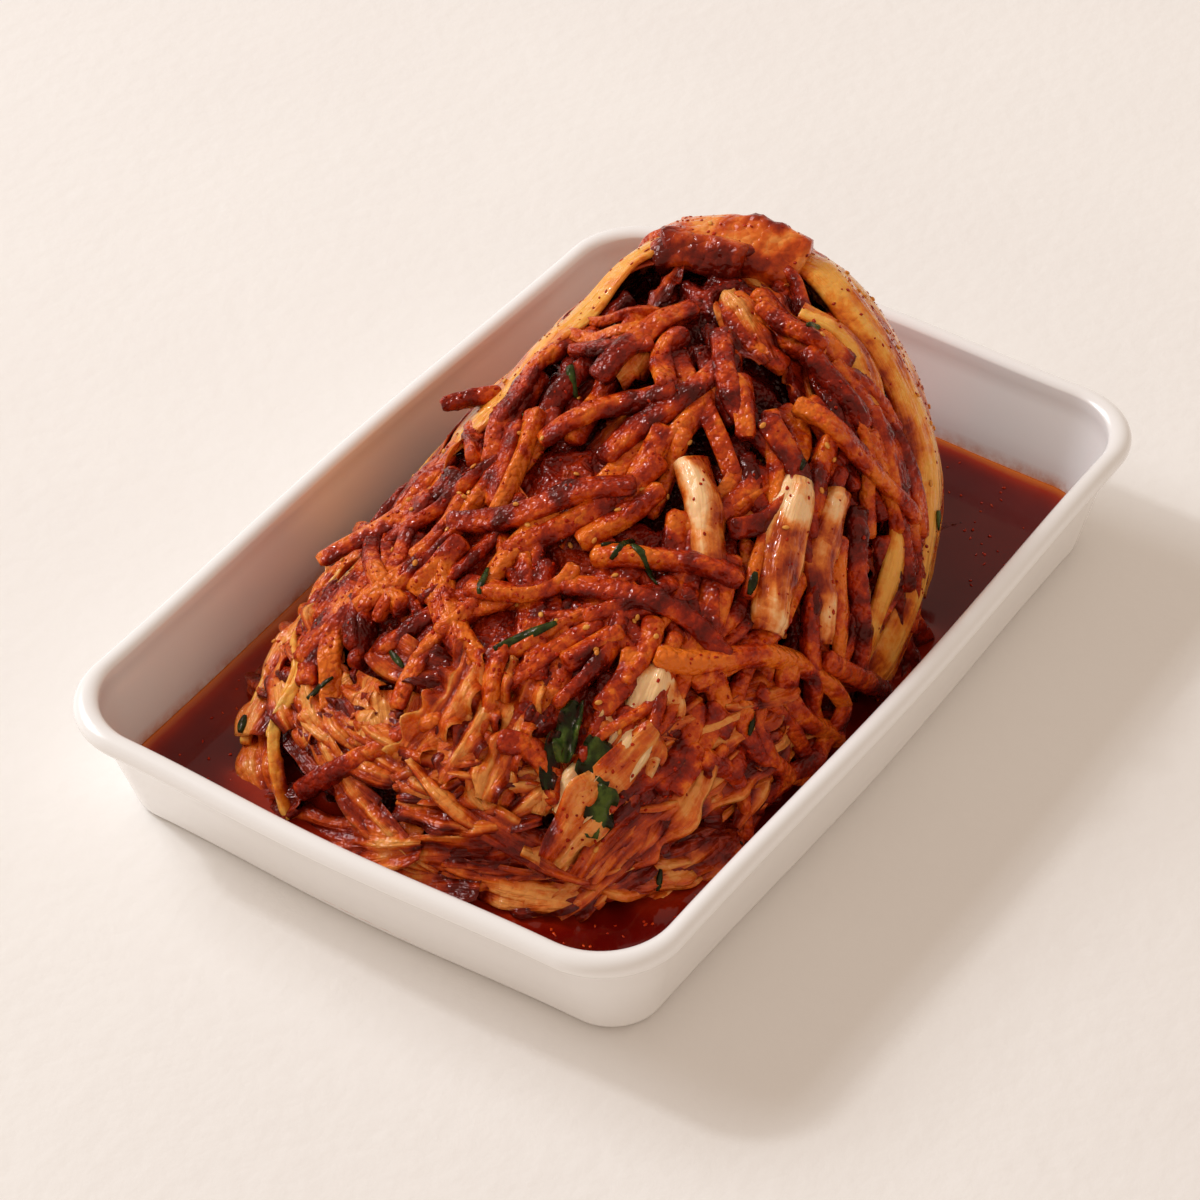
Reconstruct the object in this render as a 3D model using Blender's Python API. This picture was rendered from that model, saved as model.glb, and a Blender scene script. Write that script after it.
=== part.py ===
"""Kimchi in its white enamelled tray: a piled half cabbage standing in its red brine.

Metres, +Z up.  The origin is at the middle of the tray's underside and +X runs along the tray,
from the leafy end of the cabbage towards its root end.  Every visible leaf, stem and the stuffed
heap is its own closed solid, and each keeps a small gap to its neighbours.
"""

import math

import bmesh
import bpy
from mathutils import Vector, noise

MM = 0.001
GAP = 0.35 * MM

# Tray, measured over its rolled rim
TRAY_LENGTH = 270 * MM
TRAY_WIDTH = 182 * MM
TRAY_HEIGHT = 37.5 * MM
RIM_CORNER_RADIUS = 23 * MM
BASE_CORNER_RADIUS = 14 * MM
BASE_INSET_END = 14.5 * MM
BASE_INSET_SIDE = 10 * MM
SIDE_BOW = 2 * MM
BEAD_RADIUS = 3 * MM
WALL_THICKNESS = 1.4 * MM
FLOOR_THICKNESS = 1.8 * MM
OUTER_FILLET = 3 * MM
INNER_FILLET = 5 * MM
CORNER_STEPS = 8
SIDE_STEPS = 4

# Contents
BRINE_LEVEL = 9 * MM
FLOOR_TOP = FLOOR_THICKNESS + GAP
HEAP_BUMP_DEPTH = 5 * MM
HEAP_BUMP_SIZE = 15 * MM
HEAP_FOLD_DEPTH = 2 * MM
HEAP_FOLDS = 11
HEAP_STEPS_ALONG = 44
HEAP_STEPS_ACROSS = 36

# Heap outline, in mm: place along X, right edge, ridge and left edge in Y, height of the ridge
HEAP_STATIONS = (
    (-108, -12, 8, 32, 13),
    (-102, -39, 6, 50, 24),
    (-89, -57, 3, 63, 38),
    (-62, -69, 3, 72, 54),
    (-30, -73, 6, 74, 67),
    (0, -74, 10, 74, 80),
    (30, -72, 15, 69, 90),
    (60, -66, 19, 61, 95),
    (85, -54, 19, 54, 90),
    (100, -38, 15, 42, 72),
    (108, -18, 10, 26, 42),
)
RIGHT_FULLNESS = 0.75
LEFT_FULLNESS = 1.0

# Colours, linear
ENAMEL = (0.86, 0.84, 0.82)
BRINE_RED = (0.12, 0.008, 0.004)
PASTE_RED = (0.30, 0.035, 0.012)
LEAF_ORANGE = (0.55, 0.17, 0.035)
STEM_CREAM = (0.72, 0.42, 0.20)
LEAF_GREEN = (0.16, 0.12, 0.03)

# Large leaves and stems laid on the heap: name, colour, half width and thickness in mm, then the
# route as pairs of place along X in mm and turn over the heap (0 left edge, 0.5 ridge, 1 right edge)
PIECES = (
    ("leaf_right_outer", LEAF_ORANGE, 12, 3.2, ((12, 0.925), (44, 0.90), (76, 0.83), (93, 0.70), (96, 0.60))),
    ("leaf_right_inner", STEM_CREAM, 5, 3.0, ((12, 0.84), (34, 0.78), (54, 0.70), (68, 0.62))),
    ("leaf_left_outer", LEAF_ORANGE, 6, 3.0, ((60, 0.41), (34, 0.38), (8, 0.34), (-6, 0.31))),
    ("leaf_left_pale", STEM_CREAM, 6.5, 2.6, ((-14, 0.28), (-26, 0.25), (-38, 0.24))),
    ("leaf_left_low", LEAF_ORANGE, 11, 3.0, ((84, 0.24), (48, 0.20), (10, 0.17), (-24, 0.13))),
    ("leaf_left_green", LEAF_GREEN, 4, 3.0, ((-48, 0.21), (-62, 0.19), (-76, 0.17), (-86, 0.15))),
    ("root_end", LEAF_ORANGE, 13, 6.0, ((64, 0.50), (76, 0.505), (90, 0.52))),
    ("stem_short", STEM_CREAM, 5, 4.5, ((-5, 0.61), (-12, 0.635), (-19, 0.66))),
    ("stem_long", STEM_CREAM, 8, 5.0, ((16, 0.70), (0, 0.72), (-22, 0.76))),
    ("leaf_heart", STEM_CREAM, 6, 3.0, ((-54, 0.68), (-66, 0.69), (-80, 0.68))),
    ("leaf_front_fold", LEAF_ORANGE, 6.5, 4.0, ((-62, 0.85), (-80, 0.82), (-96, 0.80))),
    ("leaf_ruffle", LEAF_ORANGE, 6.5, 4.0, ((-70, 0.53), (-82, 0.53), (-93, 0.53))),
    ("leaf_tip_left", LEAF_ORANGE, 4.5, 3.2, ((-92, 0.22), (-97, 0.31), (-98, 0.40))),
    ("leaf_tip_front", LEAF_ORANGE, 3.5, 3.2, ((-102, 0.44), (-102.5, 0.54), (-101.5, 0.64))),
)
PIECE_STEPS_ALONG = 10
PIECE_STEPS_ACROSS = 4


def clear_scene():
    for obj in list(bpy.data.objects):
        bpy.data.objects.remove(obj, do_unlink=True)


def make_material(name, colour, roughness):
    """A plain Principled finish for one sub-part."""
    material = bpy.data.materials.new(name)
    material.use_nodes = True
    shader = material.node_tree.nodes["Principled BSDF"]
    shader.inputs["Base Color"].default_value = (*colour, 1.0)
    shader.inputs["Roughness"].default_value = roughness
    shader.inputs["Metallic"].default_value = 0.0
    return material


def add_loft(name, rings, collection, material):
    """Join rings of equal point counts into one closed solid, capped at both ends."""
    mesh = bmesh.new()
    layers = [[mesh.verts.new(point) for point in ring] for ring in rings]
    count = len(layers[0])
    for low, high in zip(layers, layers[1:]):
        for i in range(count):
            j = (i + 1) % count
            mesh.faces.new((low[i], low[j], high[j], high[i]))
    mesh.faces.new(layers[0][::-1])
    mesh.faces.new(layers[-1])
    bmesh.ops.recalc_face_normals(mesh, faces=mesh.faces)
    data = bpy.data.meshes.new(name)
    mesh.to_mesh(data)
    mesh.free()
    data.shade_smooth()
    data.materials.append(material)
    solid = bpy.data.objects.new(name, data)
    collection.objects.link(solid)
    return solid


# ---------------------------------------------------------------- tray

def tray_ring(rise, inward, height):
    """A rounded rectangle of the tray at a share of its wall's rise, moved inward by a distance."""
    half_x = TRAY_LENGTH / 2 - (1 - rise) * BASE_INSET_END - inward
    half_y = TRAY_WIDTH / 2 - (1 - rise) * BASE_INSET_SIDE - inward
    radius = BASE_CORNER_RADIUS + (RIM_CORNER_RADIUS - BASE_CORNER_RADIUS) * rise - 0.5 * inward
    corners = (
        (half_x - radius, half_y - radius, 0.0),
        (radius - half_x, half_y - radius, 0.5 * math.pi),
        (radius - half_x, radius - half_y, math.pi),
        (half_x - radius, radius - half_y, 1.5 * math.pi),
    )
    ring = []
    for k, (cx, cy, start) in enumerate(corners):
        for i in range(CORNER_STEPS + 1):
            angle = start + 0.5 * math.pi * i / CORNER_STEPS
            ring.append(Vector((cx + radius * math.cos(angle), cy + radius * math.sin(angle), height)))
        next_x, next_y, next_start = corners[(k + 1) % 4]
        end = Vector((next_x + radius * math.cos(next_start), next_y + radius * math.sin(next_start), height))
        out = Vector((math.cos(next_start), math.sin(next_start), 0.0))
        begin = ring[-1].copy()
        for i in range(1, SIDE_STEPS):
            t = i / SIDE_STEPS
            ring.append(begin.lerp(end, t) + out * SIDE_BOW * math.sin(math.pi * t) ** 2)
    return ring


def make_tray(collection):
    """Pressed sheet tray: flat base, drafted walls and a rim rolled outward into a bead."""
    wall_top = TRAY_HEIGHT - BEAD_RADIUS
    rings = [tray_ring(0, OUTER_FILLET, 0)]
    for i in range(1, 4):
        angle = 0.5 * math.pi * i / 3
        inward = OUTER_FILLET * (1 - math.sin(angle))
        rings.append(tray_ring(0, inward, OUTER_FILLET * (1 - math.cos(angle))))
    rings.append(tray_ring(0.5, 0.6 * BEAD_RADIUS, 0.5 * wall_top))
    rings.append(tray_ring(1, 1.15 * BEAD_RADIUS, wall_top - 0.9 * BEAD_RADIUS))
    for i in range(9):
        angle = math.radians(-80 + 230 * i / 8)
        inward = BEAD_RADIUS * (1 - math.cos(angle))
        rings.append(tray_ring(1, inward, wall_top + BEAD_RADIUS * math.sin(angle)))
    inside = 1.15 * BEAD_RADIUS + WALL_THICKNESS
    rings.append(tray_ring(0.93, inside, wall_top - 0.6 * BEAD_RADIUS))
    rings.append(tray_ring(0.5, 0.6 * BEAD_RADIUS + WALL_THICKNESS, 0.5 * wall_top))
    for i in range(1, 5):
        angle = 0.5 * math.pi * i / 4
        inward = WALL_THICKNESS + INNER_FILLET * (1 - math.cos(angle)) + 0.15 * BEAD_RADIUS
        height = FLOOR_THICKNESS + INNER_FILLET * (1 - math.sin(angle))
        rings.append(tray_ring(0.12, inward, height))
    material = make_material("white_enamel", ENAMEL, 0.28)
    return add_loft("tray", rings, collection, material)


# ---------------------------------------------------------------- heap surface

def station_values(x_mm):
    """Outline of the heap at one place along X, as a smooth curve through the stations."""
    stations = HEAP_STATIONS
    x_mm = min(max(x_mm, stations[0][0]), stations[-1][0])
    i = 0
    while i < len(stations) - 2 and x_mm > stations[i + 1][0]:
        i += 1
    here, there = stations[i], stations[i + 1]
    before = stations[max(i - 1, 0)]
    after = stations[min(i + 2, len(stations) - 1)]
    step = there[0] - here[0]
    t = (x_mm - here[0]) / step
    values = []
    for k in range(1, 5):
        slope_here = (there[k] - before[k]) / (there[0] - before[0]) * step
        slope_there = (after[k] - here[k]) / (after[0] - here[0]) * step
        value = (2 * t**3 - 3 * t**2 + 1) * here[k] + (t**3 - 2 * t**2 + t) * slope_here
        value += (3 * t**2 - 2 * t**3) * there[k] + (t**3 - t**2) * slope_there
        values.append(value * MM)
    return values


def heap_point(x_mm, turn):
    """A point on the heap's outer envelope: turn runs from 0 at the left foot to 1 at the right."""
    right, ridge, left, top = station_values(x_mm)
    across = math.cos(math.pi * turn)
    up = max(math.sin(math.pi * turn), 0.0)
    if across < 0:
        y = ridge - (ridge - right) * abs(across) ** RIGHT_FULLNESS
        z = FLOOR_TOP + (top - FLOOR_TOP) * up**0.9
    else:
        y = ridge + (left - ridge) * abs(across) ** LEFT_FULLNESS
        z = FLOOR_TOP + (top - FLOOR_TOP) * up**1.05
    return Vector((x_mm * MM, y, z))


def heap_normal(x_mm, turn):
    """Outward direction of the envelope."""
    turn = min(max(turn, 0.02), 0.98)
    along = heap_point(x_mm + 1.5, turn) - heap_point(x_mm - 1.5, turn)
    across = heap_point(x_mm, turn + 0.015) - heap_point(x_mm, turn - 0.015)
    return across.cross(along).normalized()


def heap_places():
    """Places along X of the heap's sections, closer together towards both ends."""
    first = HEAP_STATIONS[0][0]
    last = HEAP_STATIONS[-1][0]
    shares = [0.5 - 0.5 * math.cos(math.pi * i / HEAP_STEPS_ALONG) for i in range(HEAP_STEPS_ALONG + 1)]
    return [first + (last - first) * share for share in shares]


def make_heap(collection):
    """The stuffed cabbage heap, uneven where leaves and radish strips cross each other."""
    first = HEAP_STATIONS[0][0]
    last = HEAP_STATIONS[-1][0]
    rings = []
    for x_mm in heap_places():
        ring = []
        for j in range(HEAP_STEPS_ACROSS + 1):
            turn = j / HEAP_STEPS_ACROSS
            point = heap_point(x_mm, turn)
            unevenness = 0.5 + 0.5 * noise.noise(point / HEAP_BUMP_SIZE)
            folds = 0.5 + 0.5 * math.sin(2 * math.pi * HEAP_FOLDS * turn + 6 * unevenness + 0.04 * x_mm)
            fade = min(1.0, max(0.0, (point.z - BRINE_LEVEL) / (6 * MM)))
            depth = fade * (GAP + HEAP_BUMP_DEPTH * unevenness + HEAP_FOLD_DEPTH * folds)
            inset = heap_normal(x_mm, turn) * depth
            inset.x *= math.sin(math.pi * (x_mm - first) / (last - first)) ** 0.5
            ring.append(point - inset)
        rings.append(ring)
    material = make_material("chilli_paste_heap", PASTE_RED, 0.35)
    return add_loft("kimchi_heap", rings, collection, material)


def heap_footprint(offset):
    """Outline of the heap at the brine, moved outward."""
    places = heap_places()
    right_side = [heap_point(x_mm, 1.0) for x_mm in places]
    left_side = [heap_point(x_mm, 0.0) for x_mm in reversed(places)]
    outline = right_side + left_side
    moved = []
    for i, point in enumerate(outline):
        along = outline[(i + 1) % len(outline)] - outline[i - 1]
        out = Vector((along.y, -along.x, 0.0)).normalized()
        moved.append(Vector((point.x, point.y, 0.0)) + out * offset)
    return moved


def make_brine(collection, cutters):
    """Brine standing level round the foot of the heap, cut clear of the heap."""
    rings = []
    for i in range(5):
        angle = 0.5 * math.pi * (1 - i / 4)
        inward = WALL_THICKNESS + INNER_FILLET * (1 - math.cos(angle)) + 0.15 * BEAD_RADIUS + 1.4 * GAP
        height = max(FLOOR_TOP + GAP, FLOOR_THICKNESS + INNER_FILLET * (1 - math.sin(angle)) + GAP)
        rings.append(tray_ring(0.12, inward, height + i * 0.02 * MM))
    rings.append(tray_ring(0.2, WALL_THICKNESS + 0.35 * BEAD_RADIUS + 1.4 * GAP, BRINE_LEVEL))
    brine = add_loft("brine", rings, collection, make_material("brine", BRINE_RED, 0.08))

    outline = heap_footprint(2 * GAP)
    low = [Vector((p.x, p.y, 0.5 * FLOOR_THICKNESS)) for p in outline]
    high = [Vector((p.x, p.y, 2 * BRINE_LEVEL)) for p in outline]
    cutter = add_loft("heap_footprint_cutter", [low, high], cutters, make_material("cutter", PASTE_RED, 0.5))
    cutter.display_type = "WIRE"
    cutter.hide_render = True
    cut = brine.modifiers.new("heap_clearance", "BOOLEAN")
    cut.operation = "DIFFERENCE"
    cut.solver = "EXACT"
    cut.object = cutter
    return brine


# ---------------------------------------------------------------- leaves and stems

def route_point(route, t):
    """A smooth curve through the pairs of a route."""
    spans = len(route) - 1
    i = min(int(t * spans), spans - 1)
    u = t * spans - i
    points = [route[max(i - 1, 0)], route[i], route[i + 1], route[min(i + 2, spans)]]
    weights = (
        0.5 * (-u**3 + 2 * u**2 - u),
        0.5 * (3 * u**3 - 5 * u**2 + 2),
        0.5 * (-3 * u**3 + 4 * u**2 + u),
        0.5 * (u**3 - u**2),
    )
    x_mm = sum(w * p[0] for w, p in zip(weights, points))
    turn = sum(w * p[1] for w, p in zip(weights, points))
    return x_mm, turn


def cross_direction(route, t):
    """Steps in X and in turn that go 1 mm sideways over the heap, square to the route."""
    x0, turn0 = route_point(route, max(t - 0.02, 0.0))
    x1, turn1 = route_point(route, min(t + 0.02, 1.0))
    x_mid, turn_mid = 0.5 * (x0 + x1), 0.5 * (turn0 + turn1)
    along_x = (heap_point(x_mid + 1, turn_mid) - heap_point(x_mid - 1, turn_mid)) / 2
    along_turn = (heap_point(x_mid, turn_mid + 0.01) - heap_point(x_mid, turn_mid - 0.01)) / 0.02
    ahead = (x1 - x0) * along_x + (turn1 - turn0) * along_turn
    side = heap_normal(x_mid, turn_mid).cross(ahead).normalized() * MM
    a, b, c = along_x.dot(along_x), along_x.dot(along_turn), along_turn.dot(along_turn)
    p, q = side.dot(along_x), side.dot(along_turn)
    scale = a * c - b * b
    return (p * c - q * b) / scale, (q * a - p * b) / scale


def make_piece(name, colour, half_width, thickness, route, collection):
    """A leaf or stem that hugs the heap: a thick rib along the middle and thinner wavy edges."""
    rings = []
    for i in range(PIECE_STEPS_ALONG + 1):
        t = i / PIECE_STEPS_ALONG
        x_mm, turn = route_point(route, t)
        step_x, step_turn = cross_direction(route, t)
        width = half_width * (0.62 + 0.38 * math.sin(math.pi * (0.1 + 0.8 * t)))
        upper, lower = [], []
        for j in range(PIECE_STEPS_ACROSS + 1):
            s = 2 * j / PIECE_STEPS_ACROSS - 1
            place = (x_mm + s * width * step_x, turn + s * width * step_turn)
            point = heap_point(*place)
            normal = heap_normal(*place)
            ripple = 0.25 * thickness * math.sin(9 * t + 5 * s) * s * s
            depth = thickness * (0.42 + 0.58 * (1 - s * s) ** 0.5) + ripple
            if point.z < BRINE_LEVEL + 3 * GAP:
                point.z = BRINE_LEVEL + 3 * GAP
            lower.append(point + normal * GAP)
            upper.append(point + normal * (GAP + depth * MM))
        rings.append(lower + upper[::-1])
    material = make_material(name + "_finish", colour, 0.35)
    return add_loft(name, rings, collection, material)


def main():
    clear_scene()
    kimchi = bpy.data.collections.new("kimchi")
    cutters = bpy.data.collections.new("cutters")
    bpy.context.scene.collection.children.link(kimchi)
    bpy.context.scene.collection.children.link(cutters)
    make_tray(kimchi)
    make_heap(kimchi)
    make_brine(kimchi, cutters)
    for name, colour, half_width, thickness, route in PIECES:
        make_piece(name, colour, half_width, thickness, route, kimchi)


main()
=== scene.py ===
"""The looks of a tray of cabbage kimchi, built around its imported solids."""

import math

import bmesh
import bpy
import numpy as np
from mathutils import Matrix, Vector
from mathutils.bvhtree import BVHTree
from mathutils.kdtree import KDTree


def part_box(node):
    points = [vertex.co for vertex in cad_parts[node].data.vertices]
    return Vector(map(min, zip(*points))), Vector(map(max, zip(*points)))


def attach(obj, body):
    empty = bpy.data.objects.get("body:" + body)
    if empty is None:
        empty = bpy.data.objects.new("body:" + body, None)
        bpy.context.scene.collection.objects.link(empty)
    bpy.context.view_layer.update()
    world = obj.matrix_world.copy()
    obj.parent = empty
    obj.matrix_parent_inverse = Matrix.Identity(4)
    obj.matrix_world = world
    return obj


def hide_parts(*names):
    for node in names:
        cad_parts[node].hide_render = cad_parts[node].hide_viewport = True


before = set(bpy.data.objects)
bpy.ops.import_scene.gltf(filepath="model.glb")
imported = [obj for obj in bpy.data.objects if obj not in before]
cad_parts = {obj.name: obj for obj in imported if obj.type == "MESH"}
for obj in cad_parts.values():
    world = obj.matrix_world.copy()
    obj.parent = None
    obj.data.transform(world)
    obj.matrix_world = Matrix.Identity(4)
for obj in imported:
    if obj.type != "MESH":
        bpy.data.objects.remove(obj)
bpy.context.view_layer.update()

# ------------------------------------------------------------------ table, light and camera
# A pale lime-washed plaster table top under one broad soft window from the left, with the
# camera looking down the leafy front corner of the tray.

MM = 0.001


def paint(code):
    """sRGB hex to the linear colour that shaders take."""
    parts = [int(code[i:i + 2], 16) / 255 for i in (1, 3, 5)]
    return tuple(p / 12.92 if p <= 0.04045 else ((p + 0.055) / 1.055) ** 2.4 for p in parts) + (1.0,)


def add(tree, kind, inputs=None, stops=None, **settings):
    """Adds one shader node with its settings, its constant or linked inputs and its ramp stops."""
    made = tree.nodes.new("ShaderNode" + kind)
    for name, value in settings.items():
        setattr(made, name, value)
    for name, value in (inputs or {}).items():
        if isinstance(value, bpy.types.NodeSocket):
            tree.links.new(value, made.inputs[name])
        else:
            made.inputs[name].default_value = value
    if stops:
        ramp = made.color_ramp.elements
        while len(ramp) < len(stops):
            ramp.new(0.5)
        for element, (place, colour) in zip(ramp, stops):
            element.position = place
            element.color = colour
    return made


def new_material(name):
    """An empty node material, its tree and its output."""
    material = bpy.data.materials.new(name)
    material.use_nodes = True
    material.node_tree.nodes.clear()
    return material, material.node_tree, material.node_tree.nodes.new("ShaderNodeOutputMaterial")


def set_fact(mesh, name, values):
    """Stores one named value for each point of a mesh."""
    attribute = mesh.attributes.new(name, "FLOAT", "POINT")
    attribute.data.foreach_set("value", np.asarray(values, dtype=np.float32))


def new_mesh(name, points, faces, material, smooth=True, facts=None):
    """A mesh piece from arrays of points and of faces, with named values on its points."""
    mesh = bpy.data.meshes.new(name)
    faces = np.asarray(faces, dtype=np.int32)
    corners = faces.shape[1]
    mesh.vertices.add(len(points))
    mesh.vertices.foreach_set("co", np.asarray(points, dtype=np.float32).ravel())
    mesh.loops.add(faces.size)
    mesh.loops.foreach_set("vertex_index", faces.ravel())
    mesh.polygons.add(len(faces))
    mesh.polygons.foreach_set("loop_start", np.arange(0, faces.size, corners, dtype=np.int32))
    mesh.update(calc_edges=True)
    for fact, values in (facts or {}).items():
        set_fact(mesh, fact, values)
    mesh.validate()
    if material:
        mesh.materials.append(material)
    if smooth:
        mesh.shade_smooth()
    piece = bpy.data.objects.new(name, mesh)
    bpy.context.scene.collection.objects.link(piece)
    return piece


plaster, tree, out = new_material("limewashed_plaster")
# Brushed lime plaster: matt, warm white, with faint trowel waves and a fine grain.
place = add(tree, "TexCoord").outputs["Object"]
cloud = add(tree, "TexNoise", {"Vector": place, "Scale": 5.0, "Detail": 5.0}).outputs["Fac"]
tone = add(tree, "ValToRGB", {"Fac": cloud},
           stops=[(0.3, paint("#F2EEEA")), (0.7, paint("#F7F4F0"))]).outputs["Color"]
grain = add(tree, "TexNoise", {"Vector": place, "Scale": 160.0, "Detail": 4.0}).outputs["Fac"]
waves = add(tree, "TexNoise", {"Vector": place, "Scale": 28.0, "Detail": 3.0}).outputs["Fac"]
relief = add(tree, "Math", {0: grain, 1: waves}, operation="ADD").outputs[0]
bump = add(tree, "Bump", {"Height": relief, "Strength": 0.26, "Distance": 0.0012}).outputs["Normal"]
shader = add(tree, "BsdfPrincipled", {"Base Color": tone, "Roughness": 0.85, "Normal": bump})
tree.links.new(shader.outputs[0], out.inputs["Surface"])

floor_size = 3.0
floor = new_mesh("table_top", [(-floor_size, -floor_size, 0), (floor_size, -floor_size, 0),
                               (floor_size, floor_size, 0), (-floor_size, floor_size, 0)],
                 [(0, 1, 2, 3)], plaster, smooth=False)

world = bpy.data.worlds.new("studio")
bpy.context.scene.world = world
world.use_nodes = True
world.node_tree.nodes["Background"].inputs["Color"].default_value = paint("#FFEBDA")
world.node_tree.nodes["Background"].inputs["Strength"].default_value = 0.60
bpy.context.scene.view_settings.view_transform = "Standard"


def add_window(name, position, target, width, height, power, colour):
    """A soft rectangular light that faces a target."""
    light = bpy.data.lights.new(name, "AREA")
    light.shape = "RECTANGLE"
    light.size = width
    light.size_y = height
    light.energy = power
    light.color = paint(colour)[:3]
    lamp = bpy.data.objects.new(name, light)
    lamp.location = position
    lamp.rotation_euler = (Vector(target) - Vector(position)).to_track_quat("-Z", "Y").to_euler()
    bpy.context.scene.collection.objects.link(lamp)


add_window("window_left", (-0.12, 3.0, 2.3), (0, 0, 0.03), 2.5, 1.6, 76, "#F2F8FF")
add_window("window_gap", (-0.30, 2.9, 2.5), (0, 0, 0.03), 0.28, 0.28, 27, "#F6FAFF")

camera_turn = math.radians(-56.4)
camera_rise = math.radians(40.4)
camera_distance = 1.137
look_at = Vector((0.0176, 0.0190, 0.0))
backward = Vector((math.sin(camera_turn) * math.cos(camera_rise),
                   -math.cos(camera_turn) * math.cos(camera_rise), math.sin(camera_rise)))
lens = bpy.data.cameras.new("camera")
lens.sensor_width = 36
lens.lens = 122.8
camera = bpy.data.objects.new("camera", lens)
camera.location = look_at + backward * camera_distance
camera.rotation_euler = backward.to_track_quat("Z", "Y").to_euler()
bpy.context.scene.collection.objects.link(camera)
bpy.context.scene.camera = camera

# ------------------------------------------------------------------ tray
# A pressed steel tray in white vitreous enamel: flat base, drafted walls a little bowed, and
# the rim rolled outward into a bead. It is lofted from one rounded outline, as the sheet is drawn.

tray_high = np.array(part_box("tray")[1])
side_bow = 2 * MM
rim_x = tray_high[0] - side_bow
rim_y = tray_high[1] - side_bow
tray_height = tray_high[2]
base_inset_end = 14.5 * MM
base_inset_side = 10 * MM
rim_corner = 23 * MM
base_corner = 14 * MM
bead = 3 * MM
wall = 1.4 * MM
floor_top = 1.8 * MM
outer_fillet = 3 * MM
inner_fillet = 5 * MM


def tray_ring(rise, inward, height, corner_steps=20, side_steps=22):
    """The tray's rounded outline at a share of its wall's rise, moved inward by a distance."""
    half_x = rim_x - (1 - rise) * base_inset_end - inward
    half_y = rim_y - (1 - rise) * base_inset_side - inward
    radius = base_corner + (rim_corner - base_corner) * rise - 0.5 * inward
    ring = []
    for k, (sx, sy) in enumerate(((1, 1), (-1, 1), (-1, -1), (1, -1))):
        cx, cy = sx * (half_x - radius), sy * (half_y - radius)
        angles = (k + np.arange(corner_steps + 1) / corner_steps) * math.pi / 2
        ring += [(cx + radius * math.cos(a), cy + radius * math.sin(a), height) for a in angles]
        sx, sy = ((-1, 1), (-1, -1), (1, -1), (1, 1))[k]
        heading = (k + 1) * math.pi / 2
        end = np.array((sx * (half_x - radius) + radius * math.cos(heading),
                        sy * (half_y - radius) + radius * math.sin(heading), height))
        begin = np.array(ring[-1])
        out_way = np.array((math.cos(heading), math.sin(heading), 0))
        for i in range(1, side_steps):
            t = i / side_steps
            ring.append(tuple(begin + (end - begin) * t + out_way * side_bow * math.sin(math.pi * t) ** 2))
    return ring


def loft_faces(layers, count):
    """Quads between successive closed rings of equal counts."""
    a = np.arange((layers - 1) * count)
    b = a - a % count + (a + 1) % count
    return np.stack([a, b, b + count, a + count], 1)


def close_ends(piece, count, layers):
    """Closes a loft's first and last rings with one face each, and turns every face outward."""
    shape = bmesh.new()
    shape.from_mesh(piece.data)
    shape.verts.ensure_lookup_table()
    for start in (0, (layers - 1) * count):
        shape.faces.new([shape.verts[start + i] for i in range(count)])
    bmesh.ops.recalc_face_normals(shape, faces=shape.faces)
    shape.to_mesh(piece.data)
    shape.free()


wall_top = tray_height - bead
wall_lean = 1.15 * bead
foot_ring = tray_ring(0, outer_fillet, 0)
rings = [[(0.2 * x, 0.2 * y, 0.0) for x, y, z in foot_ring], foot_ring]
for i in range(1, 8):
    angle = 0.5 * math.pi * i / 7
    rings.append(tray_ring(0, outer_fillet * (1 - math.sin(angle)), outer_fillet * (1 - math.cos(angle))))
for rise in (0.25, 0.5, 0.75):
    rings.append(tray_ring(rise, wall_lean * rise, outer_fillet + (wall_top - outer_fillet) * rise))
rings.append(tray_ring(1, wall_lean, wall_top - bead))
for i in range(25):
    angle = math.radians(-85 + 235 * i / 24)
    rings.append(tray_ring(1, bead * (1 - math.cos(angle)), wall_top + bead * math.sin(angle)))
for rise in (0.93, 0.8, 0.6, 0.4, 0.25):
    height = floor_top + inner_fillet + (wall_top - inner_fillet - floor_top) * rise
    rings.append(tray_ring(rise, wall + wall_lean * rise, height))
for i in range(9):
    angle = 0.5 * math.pi * i / 8
    inward = wall + inner_fillet * (1 - math.cos(angle)) + 0.15 * bead
    rings.append(tray_ring(0.12, inward, floor_top + inner_fillet * (1 - math.sin(angle))))
rings.append([(0.2 * x, 0.2 * y, floor_top) for x, y, z in rings[-1]])
count = len(rings[0])

enamel, tree, out = new_material("white_vitreous_enamel")
# Glass fused on steel: bright warm white, glossy but a little soft, with a faint orange peel.
# A thin orange film of dried brine stains the inside just above the liquid.
place = add(tree, "TexCoord").outputs["Object"]
stain = add(tree, "Attribute", attribute_name="stain").outputs["Fac"]
speckle = add(tree, "TexNoise", {"Vector": place, "Scale": 260.0, "Detail": 6.0,
                                 "Roughness": 0.7}).outputs["Fac"]
patch = add(tree, "TexNoise", {"Vector": place, "Scale": 42.0, "Detail": 4.0}).outputs["Fac"]
broken = add(tree, "Math", {0: speckle, 1: patch}, operation="ADD").outputs[0]
edge = add(tree, "MapRange", {"Value": broken, "From Min": 0.82, "From Max": 1.22}).outputs["Result"]
film = add(tree, "Math", {0: stain, 1: edge}, operation="MULTIPLY").outputs[0]
film = add(tree, "Math", {0: film, 1: 1.3}, operation="MULTIPLY", use_clamp=True).outputs[0]
colour = add(tree, "Mix", {"Factor": film, 6: paint("#F8F6F4"), 7: paint("#C9773C")},
             data_type="RGBA").outputs[2]
peel = add(tree, "TexNoise", {"Vector": place, "Scale": 90.0, "Detail": 2.0}).outputs["Fac"]
bump = add(tree, "Bump", {"Height": peel, "Strength": 0.08, "Distance": 0.0006}).outputs["Normal"]
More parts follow.
